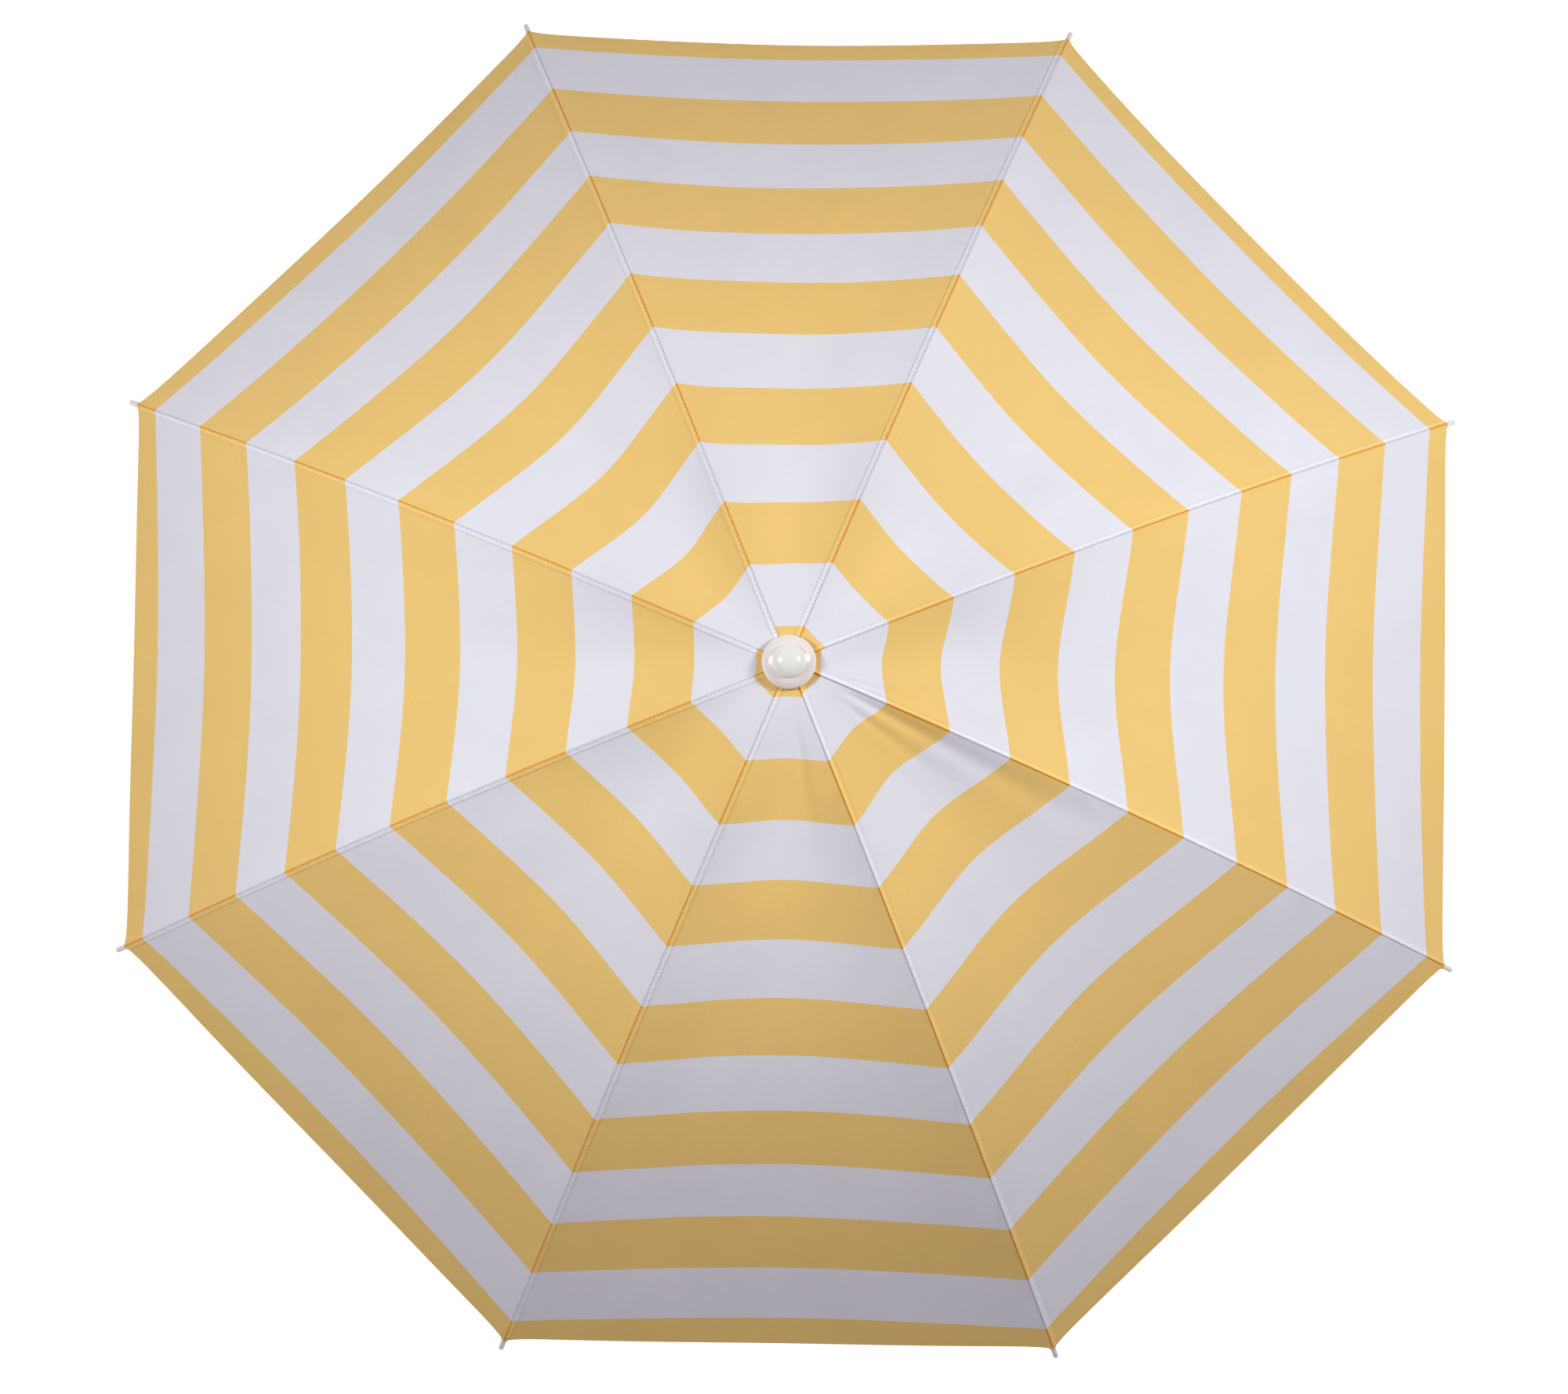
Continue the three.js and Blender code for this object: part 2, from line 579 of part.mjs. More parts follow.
place('lower_pole', cut(
  solid(pipe(LOWER_RADIUS, LOWER_RADIUS - LOWER_WALL, SPIKE_TOP + 10, LOWER_TOP)),
  screwBar(3.5, 5, 30),
), 'enamel');

function clampCollar() {
  const bore = LOWER_RADIUS + FIT;
  const body = turned([
    [bore, COLLAR_TOP - 52], [18, COLLAR_TOP - 52], [19, COLLAR_TOP - 50], [19, COLLAR_TOP - 2],
    [18, COLLAR_TOP], [POLE_RADIUS + 0.4, COLLAR_TOP], [POLE_RADIUS + 0.4, LOWER_TOP + FIT],
    [bore, LOWER_TOP + FIT], [bore, COLLAR_TOP - 52],
  ]);
  return cut(joined(body, screwBar(8, 17, 27)), screwBar(3.5, 5, 40), turned([
    [0, COLLAR_TOP - 60], [bore, COLLAR_TOP - 60], [bore, LOWER_TOP + FIT], [0, LOWER_TOP + FIT],
  ]));
}

/** A screw with two wings. */
function wingScrew() {
  const wings = [-1, 1].map((side) => {
    const inner = new THREE.Vector3(side * 5, 0, SCREW_Z);
    const outer = new THREE.Vector3(side * 15, 0, SCREW_Z);
    return capsulePlate(inner, outer, 5, 5, -34.5);
  });
  return joined(screwBar(3.2, POLE_RADIUS + 0.4, 34), screwBar(6.5, 27.4, 38), ...wings);
}

place('clamp_collar', clampCollar(), 'plastic');
place('wing_screw', wingScrew(), 'plastic');

/** A pointed foot: a cone, a flat shoulder under the pole and a plug inside it. */
function sandSpike() {
  const bore = LOWER_RADIUS - LOWER_WALL - FIT;
  return turned([
    [0, 0], [1.5, 1.2], [LOWER_RADIUS, SPIKE_TOP], [22, SPIKE_TOP], [23, SPIKE_TOP + 1],
    [23, SPIKE_TOP + 8.7], [22, SPIKE_TOP + 9.7], [bore, SPIKE_TOP + 9.7], [bore, SPIKE_TOP + 44],
    [bore - 1, SPIKE_TOP + 45], [0, SPIKE_TOP + 45],
  ]);
}

place('sand_spike', sandSpike(), 'plastic');

export default umbrella;
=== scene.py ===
import json
import math

import bpy
import numpy as np
from mathutils import Matrix, Vector


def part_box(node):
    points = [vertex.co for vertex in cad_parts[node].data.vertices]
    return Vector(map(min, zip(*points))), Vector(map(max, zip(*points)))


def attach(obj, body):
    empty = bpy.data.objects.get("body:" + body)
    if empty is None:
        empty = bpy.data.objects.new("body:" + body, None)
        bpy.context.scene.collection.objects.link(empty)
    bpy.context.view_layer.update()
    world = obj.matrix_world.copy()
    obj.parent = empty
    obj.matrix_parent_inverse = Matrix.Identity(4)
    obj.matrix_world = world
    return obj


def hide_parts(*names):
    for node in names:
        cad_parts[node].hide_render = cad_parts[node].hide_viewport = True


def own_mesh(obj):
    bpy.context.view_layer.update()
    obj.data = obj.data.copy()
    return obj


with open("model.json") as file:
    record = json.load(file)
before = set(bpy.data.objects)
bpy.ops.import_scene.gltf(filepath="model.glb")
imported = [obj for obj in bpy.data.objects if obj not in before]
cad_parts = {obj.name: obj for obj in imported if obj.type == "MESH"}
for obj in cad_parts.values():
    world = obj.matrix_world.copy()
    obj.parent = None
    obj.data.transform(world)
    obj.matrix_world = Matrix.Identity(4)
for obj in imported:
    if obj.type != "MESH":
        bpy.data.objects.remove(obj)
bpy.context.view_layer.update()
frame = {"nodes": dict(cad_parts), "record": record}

# ---- driving dimensions, in metres ---------------------------------------------------------------
RIBS = 8
STEP = 2 * math.pi / RIBS
HALF = STEP / 2
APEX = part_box("crown")[1].z + 0.0033
REACH = 0.830               # from the pole's axis to the end of a rib tip
HEM_REACH = 0.819           # from the axis to the canopy's corner on a rib
FABRIC_HOLE = 0.014         # radius of the hole under the finial
CROWN_SLOPE = math.radians(2)
HEM_SLOPE = math.radians(34)
PANEL_SAG = 0.026           # the deepest sag of a panel below its two ribs
SAG_START = 0.02            # the share of the seam where the sag sets in
SAG_RISE = 0.26             # and the share over which it grows
SAG_LOSS = 0.55             # how much of the sag is gone at the hem
STRIPE = 0.0826 * REACH     # width of a stripe
FIRST_STRIPE = 0.0446 * REACH
STRIPE_EDGES = 12
CLOTH = 0.0007              # thickness of the fabric
CLOTH_ROW = 0.011           # length of a row of the cloth's mesh, as a share of the seam
CLOTH_COLUMNS = 23          # mesh columns across half a gore
RIB_DEPTH = 0.0058          # from the fabric's top to a rib's centre
HEM_CURL = 0.0016           # radius of the turned hem
HEM_WIDTH = 0.012
HEM_BOW = (                 # how far each gore's hem bows out between its ribs, as a share of the seam
    0.0140, 0.0015, 0.0000, 0.0055, 0.0125, 0.0125, 0.0125, 0.0125,
)
HEM_CUSP = 0.0045           # how far the hem runs in beside a rib tip, as a share of the seam
CUSP_WIDTH = 0.045          # and within what share of half a gore
CROWN_SHIFT = (             # how far off its place the first stripe is sewn in each gore
    -0.0025, 0.0035, 0.0035, -0.0120, -0.0010, 0.0035, 0.0015, -0.0020,
)
SEAM_SHIFT = (              # how far out of line the inner stripes run at each seam
    0.0090, 0.0115, 0.0065, 0.0026, 0.0052, 0.0074, 0.0067, 0.0061,
)
MIDDLE_SHIFT = (            # and in the middle of each gore
    -0.0023, 0.0090, 0.0120, -0.0030, 0.0010, 0.0030, 0.0020, -0.0045,
)
CROWN_SHIFT_REACH = 0.07    # how far down the cloth the first stripe's error is felt
SHIFT_RISE = 0.20           # the inner stripes' error grows over this length of cloth,
SHIFT_EASE = 0.38           # starts to fade here,
SHIFT_FADE = 0.45           # and is gone this much further down
SEAM_FOLD = 0.0075          # width of the stitched-down fold beside a seam
SEAM_BAND = 0.0085          # the cloth this near a seam lies on the rib
FOLD_THICKNESS = 0.0004
FOLD_START = 0.03           # the share of the seam where the fold starts
FOLD_STOP = 0.004           # and how far it ends before the hem
SEAM_LIFT = (0, 0, 0, 0.2, 0, 0.1, 0.3, 1.2)  # how much higher each fold stands near the crown
STITCH_STEP = 0.0045
STITCH_LENGTH = 0.62 * STITCH_STEP
STITCH_LINE = 0.0018        # from the seam to its row of stitches
STITCH_HEIGHT = 0.00095     # of a stitch's middle above the cloth
THREAD_RADIUS = 0.00022
FINIAL_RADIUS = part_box("finial")[1].x
FINIAL_FOOT = APEX + 0.0005
DOME_RADIUS = 0.019
TIP_RADIUS = 0.0033         # of the moulded cap on a rib's end
POCKET_RADIUS = 0.0046      # of the cloth pocket that holds it
DYE_EDGE = 0.0004           # half the width in which one stripe's dye runs into the next
# sets how wide the line of painted shade in each seam's crease runs
CREASE_SHADE_WIDTH = 0.0006
FOLD_HIGHLIGHT_MIDDLE = 0.0028     # from the seam to the middle of the doubled cloth, where the painted highlight is brightest
THREAD_PITCH = 0.0012       # two threads of the weave
SOFTBOX = 0.36              # diameter of each soft disc of light
SOFTBOX_HEIGHT = APEX + 1.2
SOFTBOX_TINT = (0.98, 1, 0.98)


# ---- small helpers -------------------------------------------------------------------------------
def smooth_step(x):
    x = np.clip(x, 0, 1)
    return x * x * (3 - 2 * x)


def unit(vectors):
    return vectors / np.maximum(np.linalg.norm(vectors, axis=-1, keepdims=True), 1e-12)


def new_object(name, mesh, materials, body):
    piece = bpy.data.objects.new(name, mesh)
    bpy.context.scene.collection.objects.link(piece)
    for material in materials:
        mesh.materials.append(material)
    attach(piece, body)
    return piece


class Parts:
    """Collects closed shells and small solids into one mesh, with a normal for every face corner."""

    def __init__(self):
        self.points, self.faces, self.normals, self.cloth, self.slots = [], [], [], [], []
        self.count = 0

    def add(self, points, faces, corner_normals, cloth, slot=0):
        """Adds one closed shell, whose faces count from its own first point."""
        self.points.append(points)
        self.cloth.append(cloth)
        self.faces.extend([[i + self.count for i in face] for face in faces])
        self.normals.extend(corner_normals)
        self.slots.extend([slot] * len(faces))
        self.count += len(points)

    def shell(self, top, normal, cloth, thickness=CLOTH):
        """A closed sheet: a grid of top points, and the same grid moved in by the thickness."""
        rows, columns = top.shape[:2]
        across = np.cross(top[1, 0] - top[0, 0], top[0, 1] - top[0, 0])
        if across @ normal[0, 0] < 0:
            top, normal, cloth = top[:, ::-1], normal[:, ::-1], cloth[:, ::-1]
        points = np.concatenate([top.reshape(-1, 3), (top - normal * thickness).reshape(-1, 3)])
        flat = normal.reshape(-1, 3)
        shift = rows * columns
        at = np.arange(shift).reshape(rows, columns)
        under = at + shift
        a, b, c, d = at[:-1, :-1].ravel(), at[1:, :-1].ravel(), at[1:, 1:].ravel(), at[:-1, 1:].ravel()
        faces = np.stack([a, b, c, d], 1).tolist()
        normals = [flat[i] for face in faces for i in face]
        below = np.stack([a, d, c, b], 1)
        faces += (below + shift).tolist()
        normals += [-flat[i] for face in below.tolist() for i in face]
        rims = ((at[:, 0], under[:, 0]), (at[-1, :], under[-1, :]), (at[::-1, -1], under[::-1, -1]),
                (at[0, ::-1], under[0, ::-1]))
        for edge, low in rims:
            for i in range(len(edge) - 1):
                face = [edge[i], low[i], low[i + 1], edge[i + 1]]
                side = np.cross(points[face[1]] - points[face[0]], points[face[2]] - points[face[1]])
                faces.append([int(x) for x in face])
                normals += [unit(side)] * 4
        twice = cloth.reshape(-1, 3)
        self.add(points, faces, normals, np.concatenate([twice, twice]))

    def thread(self, centre, along, up, length, radius):
        """One stitch: a low six-sided bar with pointed ends."""
        side = np.cross(up, along)
        ring = [math.radians(60 * i) for i in range(6)]
        middle = [centre + radius * (math.cos(a) * side + 0.7 * math.sin(a) * up) for a in ring]
        ends = [centre - along * length / 2 - up * radius, centre + along * length / 2 - up * radius]
        points = np.array(middle + ends)
        faces = []
        for i in range(6):
            j = (i + 1) % 6
            faces += [[i, j, 6], [j, i, 7]]
        outward = unit(points - centre)
        normals = [outward[i] for face in faces for i in face]
        self.add(points, faces, normals, np.zeros((8, 3)), slot=1)

    def mesh(self, name):
        """One Blender mesh of all the collected shells, smooth, with the cloth's own coordinates."""
        mesh = bpy.data.meshes.new(name)
        points = np.concatenate(self.points)
        mesh.from_pydata(points.tolist(), [], self.faces)
        mesh.polygons.foreach_set("use_smooth", np.ones(len(self.faces), bool))
        mesh.polygons.foreach_set("material_index", np.array(self.slots, np.int32))
        attribute = mesh.attributes.new("cloth", "FLOAT_VECTOR", "POINT")
        attribute.data.foreach_set("vector", np.concatenate(self.cloth).astype(np.float32).ravel())
        mesh.normals_split_custom_set([tuple(n) for n in self.normals])
        mesh.update()
        return mesh


# ---- the canopy's surface ------------------------------------------------------------------------
def slope_at(t):
    """How steeply the seam falls at a share of its length."""
    return CROWN_SLOPE + (HEM_SLOPE - CROWN_SLOPE) * (1 - np.cos(math.pi * t)) / 2


def seam_profile(steps=2000):
    """Radius and height of the seam, and the distance down a gore's middle, at even shares."""
    slope = slope_at((np.arange(steps) + 0.5) / steps)
    scale = REACH / np.cos(slope).sum()
    middle = np.hypot(np.cos(slope) * math.cos(HALF), np.sin(slope))
    return [scale * np.concatenate([[0], np.cumsum(x)]) for x in (np.cos(slope), -np.sin(slope), middle)]


SEAM_R, SEAM_Z, MIDDLE = seam_profile()
SHARES = np.linspace(0, 1, len(SEAM_R))
T_HOLE, T_HEM = np.interp([FABRIC_HOLE, HEM_REACH], SEAM_R, SHARES)
EDGES = np.interp(FIRST_STRIPE + STRIPE * np.arange(STRIPE_EDGES), MIDDLE, SHARES)

# Soft folds in single gores: gore, place across it, start and end along it, half width, depth.
SOFT_FOLDS = (
    (7, 0.82, 0.05, 0.52, 0.15, 0.0062),
    (7, 0.40, 0.06, 0.34, 0.13, 0.0024),
    (0, -0.72, 0.02, 0.25, 0.12, 0.0050),
    (6, 0.35, 0.05, 0.33, 0.12, 0.0020),
    (6, -0.45, 0.30, 0.98, 0.14, 0.0012),
    (5, 0.60, 0.10, 0.45, 0.15, 0.0012),
    (2, -0.40, 0.04, 0.22, 0.16, 0.0012),
    (3, 0.10, 0.05, 0.30, 0.16, 0.0016),
    (1, 0.20, 0.05, 0.30, 0.18, 0.0014),
)


def half_chord(t):
    """Half the straight width of a gore at a share of the seam's length."""
    return np.interp(t, SHARES, SEAM_R) * math.sin(HALF)


def slack(gore, t, u):
    """How much lower than an even sag the cloth hangs: soft folds, slow waves and seam puckers."""
    depth = 0.0006 * np.sin(9.0 * t + 2.1 * gore) * np.sin(5.0 * u + 1.3 * gore)
    depth = depth + 0.0004 * np.sin(23.0 * t + 1.7 * gore + 4.0 * u)
    for where, centre, start, end, width, low in SOFT_FOLDS:
        if where == gore:
            along = smooth_step((t - start) / 0.08) * smooth_step((end - t) / 0.2)
            depth = depth + low * along * np.exp(-((u - centre) / width) ** 2)
    from_seam = (1 - np.abs(u)) * half_chord(t)
    pucker = np.sin(t * 340 + 3 * np.sin(t * 41 + gore)) * np.exp(-from_seam / 0.011)
    rest = smooth_step((t - 0.03) / 0.1)
    return rest * (depth * (1 - u ** 4) + 0.00022 * pucker * (1 - np.exp(-from_seam / 0.002)))


def canopy_point(gore, t, u):
    """The cloth's top: t is the share along the seam, and u goes from -1 to 1 across a gore."""
    r, z = np.interp(t, SHARES, SEAM_R), np.interp(t, SHARES, SEAM_Z)
    tilt = np.arctan2(np.tan(slope_at(t)), math.cos(HALF))
    sag = PANEL_SAG * smooth_step((t - SAG_START) / SAG_RISE) * (1 - SAG_LOSS * t ** 3)
    drop = sag * (1 - np.abs(u) ** 1.8) + slack(gore, t, u)
    outward = r * math.cos(HALF) - drop * np.sin(tilt)
    across = u * r * math.sin(HALF)
    azimuth = gore * STEP
    return np.stack([
        outward * math.cos(azimuth) - across * math.sin(azimuth),
        outward * math.sin(azimuth) + across * math.cos(azimuth),
        APEX + z - drop * np.cos(tilt),
    ], -1)


def canopy_frame(gore, t, u):
    """The cloth's top with its upward normal and its downhill direction."""
    e = 0.0015
    low_u, high_u = np.maximum(u - e, -1), np.minimum(u + e, 1)
    down = canopy_point(gore, t + e, u) - canopy_point(gore, t - e, u)
    across = canopy_point(gore, t, high_u) - canopy_point(gore, t, low_u)
    return canopy_point(gore, t, u), unit(np.cross(down, across)), unit(down)


def hem_share(gore, u):
    """Where the hem lies: bowed out across the gore, and drawn out to the rib tip at each corner."""
    beside = 1 - np.exp(-(1 - np.abs(u)) / CUSP_WIDTH)
    return T_HEM + HEM_BOW[gore] * (1 - u ** 2) - HEM_CUSP * beside


def cloth_place(gore, t, u):
    """The fabric's own coordinates: across the gore, down its middle, and distance from the seam."""
    half_width = half_chord(t)
    down = np.interp(t, SHARES, MIDDLE)
    uneven = smooth_step(down / SHIFT_RISE) * (1 - smooth_step((down - SHIFT_EASE) / SHIFT_FADE))
    at_seam = np.where(u > 0, SEAM_SHIFT[gore], SEAM_SHIFT[gore - 1])
    to_seam = (1 - np.cos(math.pi * u)) / 2
    shift = uneven * (at_seam * to_seam + MIDDLE_SHIFT[gore] * (1 - to_seam))
    down = down - shift - CROWN_SHIFT[gore] * np.exp(-(down / CROWN_SHIFT_REACH) ** 2)
    return np.stack([u * half_width, down, (1 - np.abs(u)) * half_width], -1)


def seam_band_share(t):
    """How much of half a gore's width the band beside the seam takes up."""
    return np.minimum(SEAM_BAND / half_chord(t), 0.5)


def add_cloth(parts, gore, start, end, shares, with_hem):
    """A patch of a gore from start to end along the seam; shares gives its places across."""
    rows = max(3, int((end - start) / CLOTH_ROW))
    t = np.linspace(start, end, rows + 1)[:, None]
    u = shares(t)
    if with_hem:
        t = start + (hem_share(gore, u) - start) * (t - start) / (end - start)
    t = np.broadcast_to(t, u.shape)
    top, normal, down = canopy_frame(gore, t, u)
    cloth = cloth_place(gore, t, u)
    if with_hem:
        top, normal, cloth = turned_hem(top, normal, down, cloth)
    parts.shell(top, normal, cloth)
    return np.linalg.norm(np.diff(top, axis=1), axis=2).sum(1).max()


def turned_hem(top, normal, down, cloth):
    """Adds rows that curl the cloth's edge under and run back inside."""
    end, n, d = top[-1], normal[-1], down[-1]
    points, normals, places = [top], [normal], [cloth]
    for a in np.radians(np.arange(22.5, 181, 22.5)):
        points.append((end + d * HEM_CURL * math.sin(a) - n * HEM_CURL * (1 - math.cos(a)))[None])
        normals.append((n * math.cos(a) + d * math.sin(a))[None])
        places.append((cloth[-1] + [0, HEM_CURL * a, 0])[None])
    for back in (0.004, 0.008, HEM_WIDTH):
        points.append((end - d * back - n * 2 * HEM_CURL)[None])
        normals.append(-n[None])
        places.append((cloth[-1] + [0, HEM_CURL * math.pi + back, 0])[None])
    return np.concatenate(points), np.concatenate(normals), np.concatenate(places)


def seam_fold(parts, rib, start, end):
    """The stitched-down fold on one side of a seam, with its row of stitches.

    Its third cloth coordinate is negative, so that the material can tell it from single cloth and paint a
    highlight on it.
    """
    gore = (rib + 1) % RIBS
    offsets = np.array([0.0, 0.0001, 0.0006, 0.0016, 0.0030, 0.0046, 0.0060, 0.0070, SEAM_FOLD])
    heights = np.array([-0.0003, 0.0006, 0.0010, 0.0009, 0.0007, 0.00065, 0.0006, 0.0004, -0.0002])
    rows = max(6, int((end - start) * REACH / (STITCH_STEP / 3)))
    t = np.broadcast_to(np.linspace(start, end, rows + 1)[:, None], (rows + 1, len(offsets)))
    u = -1 + np.minimum(offsets / half_chord(t), 0.9)
    base, normal, down = canopy_frame(gore, t, u)
    along = np.interp(t[:, :1], SHARES, MIDDLE) / STITCH_STEP
    dimple = 0.00018 * np.cos(2 * math.pi * along) * np.exp(-((offsets - STITCH_LINE) / 0.0012) ** 2)
    raised = 1 + SEAM_LIFT[rib] * (1 - smooth_step((t - 0.1) / 0.4))
    top = base + normal * (raised * heights + dimple)[..., None]
    cross = np.cross(np.gradient(top, axis=0), np.gradient(top, axis=1))
    facing = unit(cross * np.sign((cross * normal).sum(-1, keepdims=True)))
    parts.shell(top, facing, cloth_place(gore, t, u) * [1, 1, -1], thickness=FOLD_THICKNESS)
    add_stitches(parts, gore, start, end)


def add_stitches(parts, gore, start, end):
    """A row of stitches beside the seam on the low-azimuth side of a gore."""
    first, last = np.interp([start, end], SHARES, MIDDLE)
    for number in range(math.ceil(first / STITCH_STEP), math.floor(last / STITCH_STEP)):
        t = np.interp((number + 0.5) * STITCH_STEP, MIDDLE, SHARES)
        u = -1 + STITCH_LINE / half_chord(t)
        base, normal, down = canopy_frame(gore, np.array([t]), np.array([u]))
        centre = base[0] + normal[0] * STITCH_HEIGHT
        parts.thread(centre, down[0], normal[0], STITCH_LENGTH, THREAD_RADIUS)


def side_piece(fabric, rib, side, ring, start, end, outermost):
    """The cloth between the band on one rib and the middle of the gore beside it."""
    gore = rib if side > 0 else (rib + 1) % RIBS
    parts = Parts()
    columns = 1 - (1 - np.linspace(0, 1, CLOTH_COLUMNS)) ** 1.6  # closer together near the rib

    def shares(t):
        return side * columns * (1 - seam_band_share(t))

    width = add_cloth(parts, gore, start, end, shares, outermost)
    name = f"canopy_{rib + 1}_{'right' if side > 0 else 'left'}_{ring}"
    piece = new_object(name, parts.mesh(name), [fabric], f"arm_{rib + 1}")
    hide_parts(f"gore_{gore + 1}")
    length = np.interp(end, SHARES, MIDDLE) - np.interp(start, SHARES, MIDDLE)
    length += (HEM_WIDTH + math.pi * HEM_CURL + HEM_BOW[gore] * REACH) if outermost else 0
    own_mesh(piece)


def seam_piece(fabric, thread, rib):
    """The band of cloth that lies on a rib: both gores' edges, the stitched fold and its thread."""
    parts = Parts()
    columns = np.array([1.0, 0.86, 0.7, 0.5, 0.25, 0.0])
    for gore, side in ((rib, 1), ((rib + 1) % RIBS, -1)):

        def shares(t, side=side):
            return side * (1 - columns * seam_band_share(t))

        add_cloth(parts, gore, T_HOLE, T_HEM, shares, True)
    seam_fold(parts, rib, FOLD_START, T_HEM - FOLD_STOP)
    name = f"seam_{rib + 1}"
    piece = new_object(name, parts.mesh(name), [fabric, thread], f"arm_{rib + 1}")
    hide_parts(f"gore_{rib + 1}", f"gore_{(rib + 1) % RIBS + 1}")


def canopy_pieces(fabric, thread):
    """Each rib carries the cloth on both its sides, in rings.

    The rings end at the stripes' edges, with one more cut in each of the three innermost stripes.
    """
    halfway = (EDGES[:3] + EDGES[1:4]) / 2
    limits = sorted([T_HOLE, *EDGES[1:], *halfway, T_HEM])
    for rib in range(RIBS):
        seam_piece(fabric, thread, rib)
        for ring in range(len(limits) - 1):
            for side in (1, -1):
                outermost = ring == len(limits) - 2
                side_piece(fabric, rib, side, ring + 1, limits[ring], limits[ring + 1], outermost)


# ---- turned pieces -------------------------------------------------------------------------------
def lathe(name, profile, sides, place, materials, body, smooth_angle=40):
    """Turns (radius, height) points about Z, closes the ends on the axis, and puts the piece in place."""
    points, faces = [], []
    angles = np.linspace(0, 2 * math.pi, sides + 1)[:-1]
    for r, z in profile:
        points += [(r * math.cos(a), r * math.sin(a), z) for a in angles]
    for i in range(len(profile) - 1):
        for j in range(sides):
            k = (j + 1) % sides
            faces.append([i * sides + j, i * sides + k, (i + 1) * sides + k, (i + 1) * sides + j])
    faces.append(list(range(sides))[::-1])
    faces.append([(len(profile) - 1) * sides + j for j in range(sides)])
    mesh = bpy.data.meshes.new(name)
    mesh.from_pydata(points, [], faces)
    mesh.transform(place)
    mesh.polygons.foreach_set("use_smooth", np.ones(len(faces), bool))
    mesh.set_sharp_from_angle(angle=math.radians(smooth_angle))
    return new_object(name, mesh, materials, body)


def quarter_ellipse(reach, height, z, inner, steps):
    """A dome's outline, from its widest point up to an inner radius."""
    last = math.acos(inner / reach)
    return [(reach * math.cos(last * i / steps), z + height * math.sin(last * i / steps))
            for i in range(steps + 1)]


def finial_pieces(pearl_pink, pearl_white):
    """The pearl cap: a wide pink bulb with a smaller white dome on it."""
    bulb = [(FINIAL_RADIUS - 0.0015, 0), (FINIAL_RADIUS - 0.0006, 0.0006), (FINIAL_RADIUS - 0.0001, 0.0016)]
    bulb += quarter_ellipse(FINIAL_RADIUS, 0.014, 0.003, DOME_RADIUS - 0.002, 20)
    place = Matrix.Translation((0, 0, FINIAL_FOOT))
    foot = lathe("finial_bulb", bulb, 96, place, [pearl_pink], "head")
    dome = [(DOME_RADIUS - 0.0004, 0.0125)] + quarter_ellipse(DOME_RADIUS, 0.0124, 0.0142, 0.0004, 24)
    top = lathe("finial_dome", dome, 96, place, [pearl_white], "head")
    for piece in (foot, top):
        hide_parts("finial")


def rib_tip_pieces(plastic, fabric):
    """White caps on the ribs' ends, and the cloth pocket that each one sits in."""
    cap = [(TIP_RADIUS, -0.030), (0.0034, -0.018), (0.0036, -0.0155)]
    cap += [(0.0036, -0.0145), (TIP_RADIUS, -0.0140)]
    rounding = np.radians(np.arange(0, 89, 11))
    cap += [(TIP_RADIUS * math.cos(a), -0.0030 + 0.0030 * math.sin(a)) for a in rounding]
    pocket = [(0.0042, -0.0335), (POCKET_RADIUS, -0.030), (POCKET_RADIUS, -0.018)]
    pocket += [(0.0041, -0.0152), (0.0038, -0.0149)]
    for rib in range(RIBS):
        azimuth = (rib + 0.5) * STEP
        outward = Vector((math.cos(azimuth), math.sin(azimuth), 0))
        along = outward * math.cos(HEM_SLOPE) - Vector((0, 0, math.sin(HEM_SLOPE)))
        seam_end = Vector((0, 0, APEX + SEAM_Z[-1])) + outward * REACH
        under = outward * -math.sin(HEM_SLOPE) - Vector((0, 0, math.cos(HEM_SLOPE)))
        end = seam_end + under * RIB_DEPTH
        end += along * ((REACH - end.dot(outward)) / along.dot(outward))
        turn = along.to_track_quat("Z", "Y").to_matrix().to_4x4()
        place = Matrix.Translation(end) @ turn
        tip = lathe(f"tip_cap_{rib + 1}", cap, 32, place, [plastic], f"arm_{rib + 1}")
        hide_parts(f"rib_tip_{rib + 1}")
        sleeve = lathe(f"tip_pocket_{rib + 1}", pocket, 32, place, [fabric], f"arm_{rib + 1}", 80)
        attribute = sleeve.data.attributes.new("cloth", "FLOAT_VECTOR", "POINT")
        places = [(v.co.x, HEM_REACH, SEAM_BAND) for v in sleeve.data.vertices]
        attribute.data.foreach_set("vector", np.array(places, np.float32).ravel())


